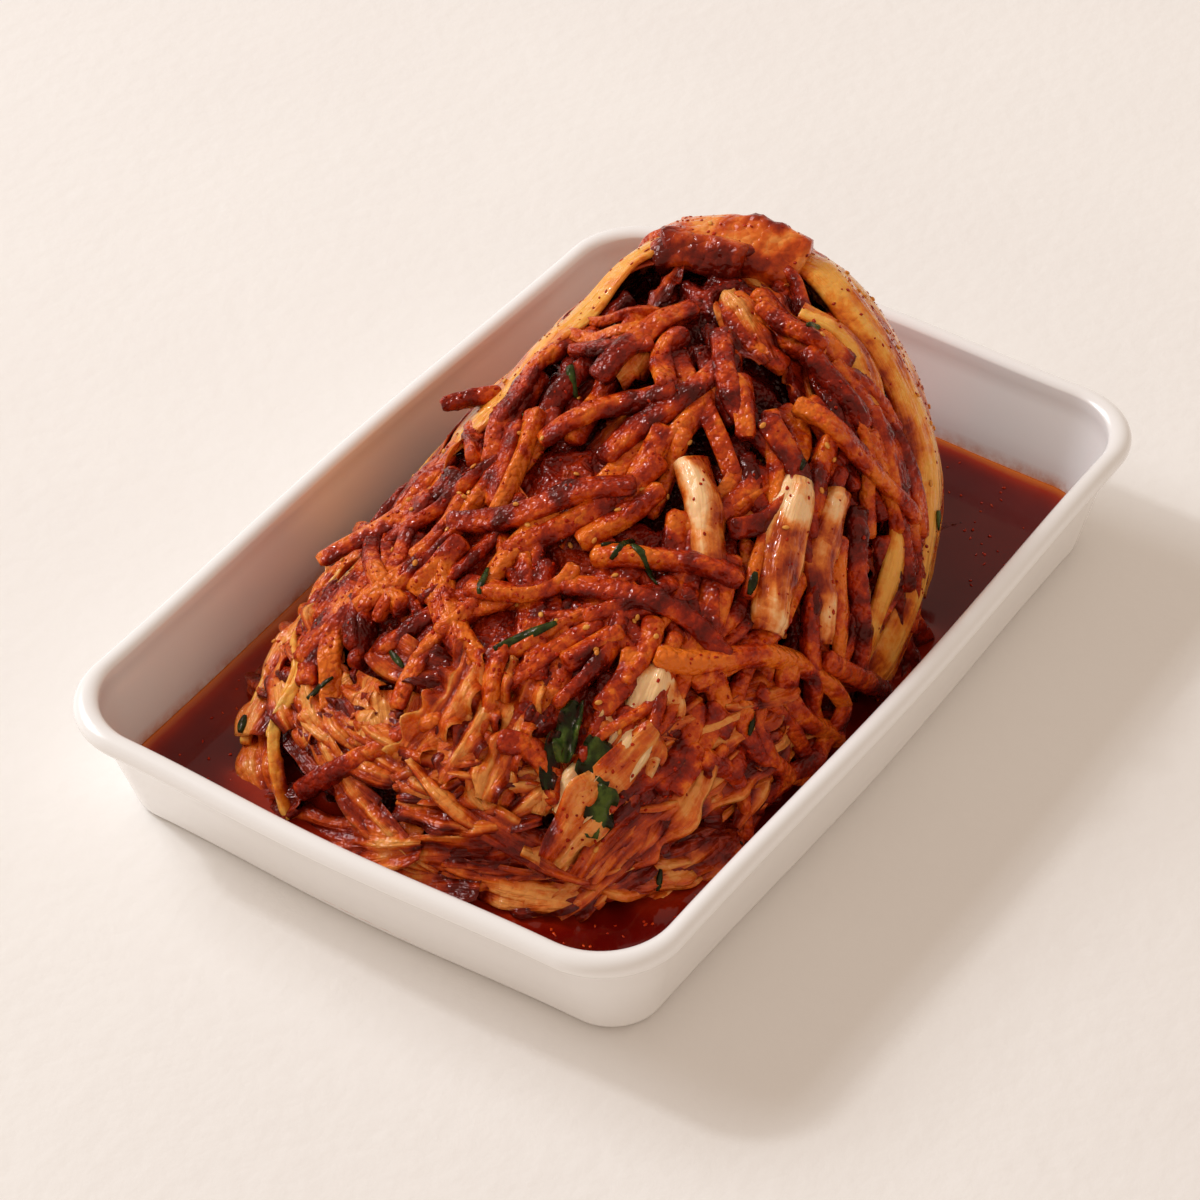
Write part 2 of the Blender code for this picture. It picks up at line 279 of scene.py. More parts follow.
shader = add(tree, "BsdfPrincipled", {"Base Color": colour, "Roughness": 0.24, "IOR": 1.5, "Normal": bump,
                                      "Coat Weight": 0.4, "Coat Roughness": 0.12})
tree.links.new(shader.outputs[0], out.inputs["Surface"])

brine_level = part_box("brine")[1][2]
points = np.array([p for ring in rings for p in ring])
bead_crown_ring = 30
inner_side = np.repeat(np.arange(len(rings)), count) > bead_crown_ring
above = (points[:, 2] - brine_level) / MM
stain_value = np.where(inner_side & (above > -3), np.clip(1 - above / 4.5, 0, 1), 0)
tray = new_mesh("enamel_tray", points, loft_faces(len(rings), count), enamel, facts={"stain": stain_value})
close_ends(tray, count, len(rings))
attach(tray, "root")
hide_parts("tray")

# ------------------------------------------------------------------ core of the heap
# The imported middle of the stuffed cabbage: radish shreds pressed together under chilli paste. The
# lower shreds are fused with the core into one lumpy mass, as the thick paste binds them.


def spread(points, size, seed=0):
    """Smooth value noise in 0 to 1 at the given points, for bumps of a given size in metres."""
    q = np.asarray(points) / size + seed * 17.31
    cell = np.floor(q).astype(np.int64)
    f = q - cell
    f = f * f * (3 - 2 * f)
    total = np.zeros(len(q))
    for dx in (0, 1):
        for dy in (0, 1):
            for dz in (0, 1):
                h = (cell[:, 0] + dx) * 374761393 + (cell[:, 1] + dy) * 668265263
                h += (cell[:, 2] + dz) * 2147483647
                h = (h ^ (h >> 13)) * 1274126177
                h = ((h ^ (h >> 16)) & 0xFFFFF) / 0xFFFFF
                wx = f[:, 0] if dx else 1 - f[:, 0]
                wy = f[:, 1] if dy else 1 - f[:, 1]
                wz = f[:, 2] if dz else 1 - f[:, 2]
                total += h * wx * wy * wz
    return total


def rough(points, size, octaves=3, seed=0):
    """Several sizes of value noise together, 0 to 1."""
    value = sum(spread(points, size / 2**k, seed + k) / 2**k for k in range(octaves))
    return value / sum(1 / 2**k for k in range(octaves))


heap_centre = np.array([0.0, 8 * MM, 3 * MM])
heap_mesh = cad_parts["kimchi_heap"].data
heap_tree = BVHTree.FromPolygons([v.co[:] for v in heap_mesh.vertices],
                                 [p.vertices[:] for p in heap_mesh.polygons])
turn_steps, rise_steps = 360, 92


def measure_heap():
    """Distance from the heap's centre to its plain solid's surface, in every direction upward."""
    reach = np.zeros((turn_steps, rise_steps))
    for i in range(turn_steps):
        a = 2 * math.pi * i / turn_steps
        for j in range(rise_steps):
            e = 0.5 * math.pi * j / (rise_steps - 1)
            way = Vector((math.cos(a) * math.cos(e), math.sin(a) * math.cos(e), math.sin(e)))
            distance = heap_tree.ray_cast(Vector(heap_centre), way)[3]
            reach[i, j] = distance if distance else 0.1
    return reach


heap_reach = measure_heap()
for _ in range(3):
    padded = np.pad(heap_reach, ((3, 3), (0, 0)), mode="wrap")
    padded = np.pad(padded, ((0, 0), (3, 3)), mode="edge")
    window = [padded[i:i + turn_steps, j:j + rise_steps] for i in range(7) for j in range(7)]
    heap_reach = np.mean(window, 0)
heap_reach = heap_reach + 2.5 * MM


def on_heap(points, depth=0.0):
    """Moves points straight out from the heap's centre onto its envelope, less a depth."""
    d = np.atleast_2d(points) - heap_centre
    r = np.linalg.norm(d, axis=1)
    u = d / r[:, None]
    a = (np.arctan2(u[:, 1], u[:, 0]) / (2 * math.pi)) % 1.0 * turn_steps
    e = np.arcsin(np.clip(u[:, 2], 0, 1)) / (0.5 * math.pi) * (rise_steps - 1)
    i, j = np.floor(a).astype(int), np.clip(np.floor(e).astype(int), 0, rise_steps - 2)
    fa, fe = a - i, e - j
    i, i2 = i % turn_steps, (i + 1) % turn_steps
    reach = (heap_reach[i, j] * (1 - fa) * (1 - fe) + heap_reach[i2, j] * fa * (1 - fe)
             + heap_reach[i, j + 1] * (1 - fa) * fe + heap_reach[i2, j + 1] * fa * fe)
    return heap_centre + u * (reach - depth)[:, None]


def heap_normal(points):
    """Outward direction of the envelope at points on it."""
    p = np.atleast_2d(points)
    u = (p - heap_centre) / np.linalg.norm(p - heap_centre, axis=1)[:, None]
    side = np.cross(u, np.tile([0.13, 0.21, 1.0], (len(u), 1)))
    side /= np.linalg.norm(side, axis=1)[:, None]
    up = np.cross(side, u)
    step = 2.5 * MM
    a = on_heap(p + side * step) - on_heap(p - side * step)
    b = on_heap(p + up * step) - on_heap(p - up * step)
    n = np.cross(a, b)
    n /= np.linalg.norm(n, axis=1)[:, None]
    return n * np.sign((n * u).sum(1))[:, None]


def paste_material(name, tones, cover=0.5, wet=0.2, grain_mm=1.2, relief=0.6, veins=0.0, glow=0.1,
                   patches=1.0, crumbs=0.9, film=0.2):
    """Chilli paste over something paler: dark red where it lies thick, bright where it is thin.

    The tones run from bare to thickly pasted, and cover is how far along them the middle lies. The paste
    value on the points also holds painted light and shade, so it runs dark in hollows and creases.
    """
    material, tree, out = new_material(name)
    place = add(tree, "TexCoord").outputs["Object"]
    tone = add(tree, "Attribute", attribute_name="tone").outputs["Fac"]
    # The paste value on the points is the paste's thickness with painted shade added: dark in hollows,
    # creases and under strips, light on ridges and on the upper sides of strips.
    thick = add(tree, "Attribute", attribute_name="paste").outputs["Fac"]
    blotch = add(tree, "TexNoise", {"Vector": place, "Scale": 1 / (12 * MM), "Detail": 5.0,
                                    "Roughness": 0.6}).outputs["Fac"]
    fine = add(tree, "TexNoise", {"Vector": place, "Scale": 1 / (2 * grain_mm * MM), "Detail": 5.0,
                                  "Roughness": 0.65}).outputs["Fac"]
    flake = add(tree, "TexVoronoi", {"Vector": place, "Scale": 1 / (1.4 * grain_mm * MM)})
    shares = [(blotch, patches), (fine, crumbs), (thick, 0.8), (tone, 0.3), (flake.outputs["Color"], 0.16)]
    grit = add(tree, "TexNoise", {"Vector": place, "Scale": 1 / (1.6 * grain_mm * MM),
                                  "Detail": 1.0}).outputs["Fac"]
    bead = add(tree, "Math", {0: flake.outputs["Distance"], 1: 2.0}, operation="POWER").outputs[0]
    height = add(tree, "Math", {0: bead, 1: -0.6, 2: grit}, operation="MULTIPLY_ADD").outputs[0]
    if veins:
        across = add(tree, "Attribute", attribute_name="across").outputs["Fac"]
        along = add(tree, "Attribute", attribute_name="along").outputs["Fac"]
        slow = add(tree, "Math", {0: along, 1: 0.1}, operation="MULTIPLY").outputs[0]
        lines = add(tree, "CombineXYZ", {"X": across, "Y": slow}).outputs[0]
        vein = add(tree, "TexNoise", {"Vector": lines, "Scale": 0.45, "Detail": 3.0}).outputs["Fac"]
        shares.append((vein, veins))
        height = add(tree, "Math", {0: vein, 1: -3.0, 2: height}, operation="MULTIPLY_ADD").outputs[0]
    total = cover - 0.5 * sum(share for value, share in shares)
    for value, share in shares:
        total = add(tree, "Math", {0: value, 1: share, 2: total}, operation="MULTIPLY_ADD").outputs[0]
    steps = np.linspace(0, 1, len(tones))
    colour = add(tree, "ValToRGB", {"Fac": total},
                 stops=[(step, paint(code)) for step, code in zip(steps, tones)]).outputs["Color"]
    shine = add(tree, "MapRange", {"Value": fine, "From Min": 0.35, "From Max": 0.65,
                                   "To Min": wet, "To Max": wet + 0.22}).outputs["Result"]
    bump = add(tree, "Bump", {"Height": height, "Strength": relief, "Distance": 0.0014}).outputs["Normal"]
    shader = add(tree, "BsdfPrincipled", {
        "Base Color": colour, "Roughness": shine, "Specular IOR Level": 0.14, "Normal": bump,
        "Specular Tint": paint("#FF8A5A"), "Coat Weight": film, "Coat Roughness": 0.05, "Coat Normal": bump,
        "Subsurface Weight": glow, "Subsurface Scale": 0.003, "Subsurface Radius": (1.0, 0.35, 0.12)})
    tree.links.new(shader.outputs[0], out.inputs["Surface"])
    return material


dice = np.random.default_rng(11)
laid = []
# Strips and scraps stop short of the tray's floor, of the outer leaves and of the leafy foot. The
# right leaf's line slants once it is past its turn.
lowest = floor_top + 1.5 * MM
far_end, right_turn = 76 * MM, -10 * MM
left_side, left_tip = 46 * MM, -10 * MM
foot_start, foot_line = -45 * MM, 30 * MM


def walk(start, heading, length, bend, step=2.0 * MM):
    """A path over the heap's envelope: starts at a place, and turns by bend(t) radians a metre."""
    steps = max(int(length / step), 5)
    p = on_heap(start)[0]
    n = heap_normal(p)[0]
    h = np.array(heading, float)
    path, normals = [], []
    for k in range(steps + 1):
        path.append(p)
        normals.append(n)
        h = h - n * h.dot(n)
        h /= np.linalg.norm(h)
        angle = bend(k / steps) * step
        h = h * math.cos(angle) + np.cross(n, h) * math.sin(angle)
        p = on_heap(p + h * step)[0]
        past_leaf = p[0] + 0.5 * max(0, right_turn - p[1]) > far_end
        in_foot = p[0] < foot_start and p[2] < foot_line
        if k > 4 and (p[2] < lowest or past_leaf or in_foot):
            break
        n = heap_normal(p)[0]
    return np.array(path), np.array(normals)


def smooth_line(places, step):
    """A smooth line through a few places given in millimetres."""
    marks = np.array(places, float) * MM
    marks = np.concatenate([[2 * marks[0] - marks[1]], marks, [2 * marks[-1] - marks[-2]]])
    line = []
    for a, b, c, d in zip(marks, marks[1:], marks[2:], marks[3:]):
        for u in np.linspace(0, 1, max(int(np.linalg.norm(c - b) / step), 2), endpoint=False):
            line.append(0.5 * (2 * b + (c - a) * u + (2 * a - 5 * b + 4 * c - d) * u**2
                               + (3 * b - a - 3 * c + d) * u**3))
    line.append(marks[-2])
    return np.array(line)


def route(places, step=2.0 * MM):
    """A smooth path over the envelope through a few places given in millimetres."""
    path = on_heap(smooth_line(places, step))
    return path, heap_normal(path)


def rest_heights(path, normals, radius, stiff):
    """How far above its bed each point of a path must lie to clear what lies under it."""
    height = np.zeros(len(path))
    if laid:
        below = np.concatenate(laid)
        for k, (p, n) in enumerate(zip(path, normals)):
            d = below[:, :3] - p
            up = d @ n
            flat = np.sqrt(np.maximum((d * d).sum(1) - up * up, 0))
            reach = 0.85 * (radius + below[:, 3])
            near = (flat < reach) & (np.abs(up) < 14 * MM)
            if near.any():
                height[k] = (up[near] + np.sqrt(reach[near] ** 2 - flat[near] ** 2)).max()
    height = np.maximum(height, 0)
    kernel = np.exp(-0.5 * (np.arange(-8, 9) / stiff) ** 2)
    kernel /= kernel.sum()
    smooth = np.convolve(np.pad(height, 8, mode="edge"), kernel, "valid")
    return np.maximum(smooth, 0.7 * height)


def resample(values, places):
    """Values along a path, read at other places along it."""
    t = np.linspace(0, 1, len(values))
    return np.stack([np.interp(places, t, values[:, k]) for k in range(3)], 1)


def sweep(path, normals, widths, thicks, twist, sides, square):
    """Rings of a rounded oblong section along a path."""
    tangent = np.gradient(path, axis=0)
    tangent /= np.linalg.norm(tangent, axis=1)[:, None]
    side = np.cross(tangent, normals)
    side /= np.linalg.norm(side, axis=1)[:, None]
    up = np.cross(side, tangent)
    around = 2 * math.pi * (np.arange(sides) + 0.5) / sides
    c, s = np.cos(around), np.sin(around)
    c, s = np.sign(c) * np.abs(c) ** square, np.sign(s) * np.abs(s) ** square
    x = widths[:, None] * c[None, :] / 2
    y = thicks[:, None] * s[None, :] / 2
    ct, st = np.cos(twist)[:, None], np.sin(twist)[:, None]
    u, v = x * ct - y * st, x * st + y * ct
    return path[:, None, :] + u[..., None] * side[:, None, :] + v[..., None] * up[:, None, :]


face_outward = (0, 3, 2, 1)


class Bundle:
    """Collects the points, faces and values of many like pieces, to be joined as one mesh.

    A ring runs clockwise about its path, so the order of each face's corners is turned round.
    """

    def __init__(self):
        self.points, self.quads, self.count = [], [], 0
        self.facts = {}

    def add_tube(self, rings, **facts):
        """Adds one closed solid made of rings; each fact is one value or one for each point."""
        layers, sides = rings.shape[:2]
        ends = []
        for row in (0, (layers - 1) * sides):
            for i in range(sides // 2 - 1):
                loop = (row + i, row + i + 1, row + sides - 2 - i, row + sides - 1 - i)
                ends.append(loop if row else loop[::-1])
        self.points.append(rings.reshape(-1, 3))
        faces = np.concatenate([loft_faces(layers, sides), ends]) + self.count
        self.quads.append(faces[:, face_outward])
        for name, value in facts.items():
            self.facts.setdefault(name, []).append(np.broadcast_to(value, (layers, sides)).reshape(-1))
        self.count += layers * sides

    def build(self, name, material, slot=None):
        """Joins all as one object; with a slot, it rides on the tray's body."""
        facts = {fact: np.concatenate(values) for fact, values in self.facts.items()}
        points, quads = np.concatenate(self.points), np.concatenate(self.quads)
        piece = new_mesh(name, points, quads, material, facts=facts)
        if slot:
            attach(piece, "root")
            food.append(piece)
        return piece


food = []


def lay_strip(bundle, path, normals, width=5.5, thick=4.4, paste=0.5, bed=5.5, sides=12, most=6.0,
              tone=None, slim=0.0, lumpy=1.0, rest=True):
    """Lays one strip along a path; sizes in mm, bed is how far its middle sits under the envelope."""
    length = np.linalg.norm(np.diff(path, axis=0), axis=1).sum() / MM
    radius = 0.25 * (width + thick) * MM
    base = path - normals * bed * MM
    if rest:
        height = np.minimum(rest_heights(base, normals, radius, 2.2), most * MM)
        base = base + normals * height[:, None]
    base[:, 2] = np.maximum(base[:, 2], floor_top + radius)
    laid.append(np.column_stack([base, np.full(len(base), radius)]))
    t = np.linspace(0, 1, int(length / 1.1) + 5)
    base, normals = resample(base, t), resample(normals, t)
    for _ in range(3):
        base[1:-1] = 0.25 * base[:-2] + 0.5 * base[1:-1] + 0.25 * base[2:]
    end = np.clip(np.minimum(t, 1 - t) * length / 1.5, 0, 1)
    blunt = 0.70 + 0.30 * np.sqrt(1 - (1 - end) ** 2)
    seed = int(dice.integers(999))
    broad = (0.82 + 0.36 * rough(base, 20 * MM, 2, seed)) * (1 - slim * t)
    deep = (0.82 + 0.36 * rough(base, 14 * MM, 2, seed + 5)) * (1 - slim * t)
    twist = dice.uniform(-0.6, 0.6) + dice.uniform(-1.6, 1.6) * t
    rings = sweep(base, normals, width * MM * blunt * broad, thick * MM * blunt * deep, twist, sides,
                  dice.uniform(0.5, 0.85))
    flat = rings.reshape(-1, 3)
    out_way = flat - np.repeat(base, sides, 0)
    out_way /= np.linalg.norm(out_way, axis=1)[:, None] + 1e-9
    facing = (out_way * np.repeat(normals, sides, 0)).sum(1)
    around = np.tile(2 * math.pi * np.arange(sides) / sides, len(t))
    drift = np.repeat(t, sides) * dice.uniform(-3, 3) + dice.uniform(0, 6)
    groove = np.sin(3 * around + drift) + 0.6 * np.sin(5 * around - drift)
    clump = rough(flat, 6 * MM, 3, 31)
    crumb = rough(flat, 2.0 * MM, 2, 37)
    # Less paste on the side facing out of the heap and more underneath: painted light on top and painted
    # shade below, over real patches of paste.
    paste_and_painted_shade = np.clip(paste + (clump - 0.5) * 2.6 - 0.3 * facing, 0, 1)
    swell = 0.22 * groove + 1.5 * paste_and_painted_shade * (clump - 0.42) + 1.1 * (0.15 + paste_and_painted_shade) * (crumb - 0.5)
    flat = flat + out_way * (lumpy * swell * MM)[:, None]
    bundle.add_tube(flat.reshape(rings.shape), tone=dice.random() if tone is None else tone,
                    paste=paste_and_painted_shade.reshape(rings.shape[:2]), along=0.0, across=0.0)


peak = np.array([62.0, 12.0, 96.0]) * MM


def fall_line(place, swing):
    """Direction away from the heap's peak, swung sideways by an angle."""
    d = on_heap(place)[0] - peak
    c, s = math.cos(swing), math.sin(swing)
    return np.array([d[0] * c - d[1] * s, d[0] * s + d[1] * c, d[2]])


def scatter(low_x, high_x):
    """A random place over the heap, fairly even over its surface."""
    tilt = dice.uniform(-1.35, 1.35)
    return np.array([dice.uniform(low_x, high_x), 8 + 60 * math.sin(tilt), 8 + 70 * math.cos(tilt)]) * MM


def strew(bundle, number, low_x, high_x, bed, widths, lengths, swing, pastes, **more):
    """Lays small handfuls of strips side by side at random, most running down from the peak."""
    for _ in range(number):
        start = scatter(low_x, high_x)
        heading = fall_line(start, dice.normal(0, swing))
        beside = np.cross(heap_normal(on_heap(start))[0], heading)
        beside /= np.linalg.norm(beside)
        curl, drift = dice.normal(0, 14), dice.normal(0, 26)
        for k in range(dice.integers(1, 4)):
            offset = beside * (5.2 * k * MM) + heading / np.linalg.norm(heading) * dice.uniform(-8, 8) * MM
            own = dice.normal(0, 5)
            path, normals = walk(start + offset, heading, dice.uniform(*lengths) * MM,
                                 lambda t: curl + own + drift * math.sin(5 * t))
            past_left = path[:, 1].max() > left_side and path[:, 0].max() > left_tip
            slant = 0.5 * np.maximum(0, right_turn - path[:, 1])
            past_right = (path[:, 0] + slant).max() > far_end + 2 * MM
            if past_left or past_right:
                continue
            width = dice.uniform(*widths)
            lay_strip(bundle, path, normals, width, width * dice.uniform(0.62, 0.85),
                      paste=dice.uniform(*pastes), bed=bed, **more)


def read_values(mesh, what):
    """The points or the point normals of a mesh as an array."""
    values = np.zeros(len(mesh.vertices) * 3, dtype=np.float32)
    mesh.vertices.foreach_get(what, values)
    return values.reshape(-1, 3).astype(float)


def fuse(piece, voxel, swell):
    """Melts a piece's many solids into one skin, which webs over gaps up to twice the swell."""
    for kind, settings in (("DISPLACE", {"strength": swell, "mid_level": 0}),
                           ("REMESH", {"mode": "VOXEL", "voxel_size": voxel}),
                           ("SMOOTH", {"factor": 0.5, "iterations": 2}),
                           ("DISPLACE", {"strength": -swell, "mid_level": 0})):
        modifier = piece.modifiers.new(kind, kind)
        for name, value in settings.items():
            setattr(modifier, name, value)
    melted = piece.evaluated_get(bpy.context.evaluated_depsgraph_get())
    piece.data = bpy.data.meshes.new_from_object(melted)
    piece.modifiers.clear()
    piece.data.shade_smooth()
    return piece.data, read_values(piece.data, "co"), read_values(piece.data, "normal")


lower = Bundle()
strew(lower, 60, -98, 74, 9.5, (4.5, 7.5), (24, 50), 0.8, (0.4, 0.8), sides=8, most=4.0, lumpy=0)
strew(lower, 60, -80, 74, 7.8, (4.0, 7.0), (24, 50), 0.8, (0.4, 0.8), sides=8, most=4.0, lumpy=0)
strew(lower, 50, -88, 74, 6.8, (4.0, 6.5), (14, 40), 0.9, (0.4, 0.8), sides=8, most=3.0, lumpy=0)
strew(lower, 60, -88, 74, 6.0, (3.0, 5.5), (8, 26), 1.4, (0.4, 0.8), sides=8, most=2.0, lumpy=0)

core_turns, core_rises = 260, 96
rise = 0.5 * math.pi * (np.repeat(np.arange(core_rises), core_turns) / core_rises) ** 0.9
turn = np.tile(2 * math.pi * np.arange(core_turns) / core_turns, core_rises)
ways = np.stack([np.cos(turn) * np.cos(rise), np.sin(turn) * np.cos(rise), np.sin(rise)], 1)
core_points = on_heap(heap_centre + ways * 0.05)
core_depth = 11.5 - 8.0 * (rough(core_points, 15 * MM, 4, 5) - 0.5)
core_points = core_points - ways * (core_depth * MM)[:, None]
core_points[:, 2] = np.maximum(core_points[:, 2], floor_top + 0.3 * MM)
packed = new_mesh("packed_heap", core_points, loft_faces(core_rises, core_turns), None)
close_ends(packed, core_turns, core_rises)
buried = lower.build("buried_strips", None)
# Inside out, the buried strips are thinned as the core swells, which keeps gaps open between them.
buried.data.flip_normals()
shape = bmesh.new()
shape.from_mesh(packed.data)
shape.from_mesh(buried.data)
shape.to_mesh(packed.data)
shape.free()
bpy.data.objects.remove(buried)
skin, points, normal = fuse(packed, 1.25 * MM, 0.2 * MM)
clump = rough(points, 6 * MM, 3, 31)
crumb = rough(points, 2.4 * MM, 2, 37)
sunk = np.linalg.norm(on_heap(points) - points, axis=1) / MM
points = points + normal * (MM * (3.0 * (clump - 0.5) + 1.8 * (crumb - 0.5)))[:, None]
points[:, 2] = np.maximum(points[:, 2], floor_top + 0.2 * MM)
skin.vertices.foreach_set("co", points.astype(np.float32).ravel())
# The deeper a point is sunk under the heap's envelope, the more paste and the darker it is: partly thicker
# paste in the hollows, partly painted shade between the strips.
paste_and_painted_shade = np.clip(0.1 + 0.06 * sunk + 1.2 * (clump - 0.5), 0, 1)
set_fact(skin, "tone", rough(points, 14 * MM, 2, 3))
set_fact(skin, "paste", paste_and_painted_shade)
# Thick wet paste: brick red on the lumps, dark blood red in the hollows, with sharp small glints. The
# hollows are darkened partly by thicker paste and partly by painted shade.
core_paste = paste_material("chilli_paste_core",
                            ("#A82C08", "#881A06", "#6C1004", "#500A03", "#380502", "#240301"),
                            cover=0.46, wet=0.12, relief=0.8, glow=0.05, film=0.45)
skin.materials.clear()
skin.materials.append(core_paste)
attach(packed, "root")
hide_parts("kimchi_heap")
food.append(packed)

# ------------------------------------------------------------------ leaves
# Cabbage leaves wilted in salt: a thick pale rib that thins into a ruffled blade, stained orange and
# smeared with paste in its creases, which are also darkened with painted shade while the fold ridges
# are lightened as a painted highlight. Each is one sheet of real thickness, laid over the heap.


def lay_leaf(bundle, path, normals, width, lift=0.0, folds=2.0, fold_mm=6.0, ruffle=1.5, ruffles=2.5,
             tilt=0.0, cup=0.0, thick=0.9, rib=0.0, tone=0.5, paste=0.3, slim=0.4, ragged=0.3):
    """Lays one leaf along a path; sizes in mm. tilt lifts one edge, cup lifts both."""
    length = np.linalg.norm(np.diff(path, axis=0), axis=1).sum() / MM
    rows, columns = int(length / 1.5) + 6, max(int(width / 1.2), 8)
    t, s = np.linspace(0, 1, rows), np.linspace(-1, 1, columns)
    base, up = resample(path, t), resample(normals, t)
    side = np.cross(np.gradient(base, axis=0), up)
    side /= np.linalg.norm(side, axis=1)[:, None]
    seed = int(dice.integers(999))
    zeros = np.zeros(rows)
    edges = []
    for apart in (0, 50):
        line = np.stack([t * length, zeros + apart, zeros], 1) * MM
        edges.append(1 + ragged * 2 * (rough(line, 11 * MM, 2, seed) - 0.5))
    outline = np.where(s < 0, edges[0][:, None], edges[1][:, None])
    outline = outline * (1 - slim * np.abs(2 * t - 1) ** 3)[:, None]
    points = base[:, None, :] + side[:, None, :] * (0.5 * width * MM * outline * s[None, :])[..., None]
    flat = on_heap(points.reshape(-1, 3))
    out_way = heap_normal(flat).reshape(rows, columns, 3)
    tt, ss = np.meshgrid(t, s, indexing="ij")
    sheet = np.stack([ss * width / 2, tt * length * 0.16, ss * 0 + seed], -1).reshape(-1, 3) * MM
    fold = np.abs(2 * rough(sheet, fold_mm * MM, 2, seed) - 1).reshape(rows, columns) * 2
    fold = np.clip(fold, 0, 1.2)
    wander = 3.0 * rough(flat, 14 * MM, 2, seed + 7).reshape(rows, columns)
    wave = np.sin(2 * math.pi * ruffles * tt + 1.2 * ss + wander + seed)
    height = lift + folds * (fold - 0.4) + ruffle * np.abs(ss) ** 1.5 * wave + tilt * ss + cup * ss * ss
    body = thick * np.sqrt(1 - 0.85 * ss**4) + rib * np.exp(-((ss / 0.3) ** 2)) * (1 - 0.6 * tt)
    body = body * np.clip(np.minimum(tt, 1 - tt) * 16, 0.4, 1)
    flat = flat.reshape(rows, columns, 3)
    top = flat + out_way * ((height + body / 2) * MM)[..., None]
    bottom = flat + out_way * ((height - body / 2) * MM)[..., None]
    rings = np.concatenate([top, bottom[:, ::-1]], 1)[:, ::-1]
    rings[..., 2] = np.maximum(rings[..., 2], floor_top + 0.4 * MM)
    smear = rough(flat.reshape(-1, 3), 9 * MM, 3, seed + 20).reshape(rows, columns)
    # Paste gathers in the creases and thins on the ridges: partly real paste, partly painted shade in the
    # creases and painted highlight on the ridges.
    paste_and_painted_shade = np.clip(paste + 1.1 * (0.55 - fold) * min(folds, 1.5) / 1.5 + (smear - 0.5) * 1.8, 0, 1)
    facts = {"tone": np.clip(tone + 1.2 * (np.abs(ss) - 0.5), 0, 1.3), "paste": paste_and_painted_shade,
             "along": tt * length, "across": ss * width / 2 + seed}
    bundle.add_tube(rings, **{k: np.concatenate([v, v[:, ::-1]], 1)[:, ::-1] for k, v in facts.items()})


# Stained leaf: peach on ribs, clear orange on the blade, paler on the fold ridges as a painted highlight,
# and red-brown in creases from paste together with painted shade.
leaf_finish = paste_material(
    "stained_cabbage_leaf", ("#F0984A", "#E06E22", "#C84C10", "#A23009", "#7E1A06", "#580D03"),
    cover=0.53, wet=0.10, grain_mm=1.6, relief=0.6, veins=1.1, glow=0.2, patches=0.7, crumbs=0.6, film=0.45)
# Thick stem: cream to peach and nearly bare, with smears of dark paste and a wet streak of light.
stem_finish = paste_material(
    "salted_stem", ("#FCCB94", "#F4A864", "#E07A2C", "#B84A12", "#861F07", "#560D04"),
    cover=0.42, wet=0.08, grain_mm=2.0, relief=0.4, veins=0.6, glow=0.25, patches=1.7, crumbs=0.6, film=0.5)
# Outermost leaf: yellow-orange, smooth and translucent, with scattered dark red specks.
yellow_finish = paste_material(
    "yellowed_leaf", ("#F2AC4C", "#EA8E2E", "#D66C18", "#B0420C", "#861F07", "#5E0F04"),
    cover=0.42, wet=0.10, grain_mm=1.6, relief=0.35, veins=0.6, glow=0.3, patches=1.1, crumbs=0.8, film=0.4)


def leaf_piece(name, slot, nodes, finish, *sheets):
    """Builds one named leaf, of one or more sheets, in place of its plain solids."""
    bundle = Bundle()
    for places, width, more in sheets:
        path, normals = route(places)
        lay_leaf(bundle, path, normals, width, **more)
    piece = bundle.build(name, finish, slot)
    if nodes:
        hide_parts(*nodes)


smooth_leaf = {"folds": 0.7, "fold_mm": 9.0, "ruffle": 0.6, "ragged": 0.1, "slim": 0.25}
leaf_piece(
    "outer_leaf_right", "leaf_orange", ["leaf_right_outer"], yellow_finish,
    ([(82, -4, 90), (76, -31, 80), (72, -46, 66), (67, -57, 50), (52, -66, 38), (30, -71, 26),
      (10, -74, 18)], 17,
     {**smooth_leaf, "lift": 1.0, "thick": 3.4, "rib": 1.5, "tone": 0.3, "paste": 0.15, "cup": -1.5}),
    ([(92, 0, 84), (90, -26, 74), (84, -46, 56), (72, -60, 38), (50, -70, 24)], 20,
     {**smooth_leaf, "lift": -0.5, "thick": 2.4, "tone": 0.4, "paste": 0.2, "cup": -1.0}))
leaf_piece(
    "inner_leaf_right", "stem_cream", ["leaf_right_inner"], yellow_finish,
    ([(60, -18, 90), (62, -34, 82), (54, -48, 72), (48, -58, 58), (36, -64, 47), (20, -69, 36),
      (6, -71, 28)], 9,
     {**smooth_leaf, "lift": 0.8, "thick": 2.6, "rib": 1.6, "tone": 0.1, "paste": 0.25}))
leaf_piece(
    "outer_leaf_left", "leaf_orange", ["leaf_left_outer", "leaf_left_low"], yellow_finish,
    ([(70, 28, 92), (46, 36, 86), (26, 39, 80), (6, 44, 71), (-12, 50, 60)], 15,
     {**smooth_leaf, "lift": 0.6, "thick": 1.8, "rib": 1.5, "tone": 0.3, "paste": 0.2}),
    ([(84, 45, 64), (48, 55, 55), (10, 64, 42), (-24, 69, 28)], 30,
     {"lift": -0.5, "folds": 1.4, "fold_mm": 8.0, "thick": 1.4, "rib": 2.0, "tone": 0.4, "paste": 0.3}))
leaf_piece(
    "pale_leaf_left", "stem_cream", ["leaf_left_pale"], leaf_finish,
    ([(-8, 48, 64), (-22, 52, 53), (-38, 56, 43), (-50, 59, 32)], 15,
     {"lift": 0.6, "folds": 1.6, "thick": 1.2, "rib": 1.5, "tone": 0.2, "paste": 0.15}))
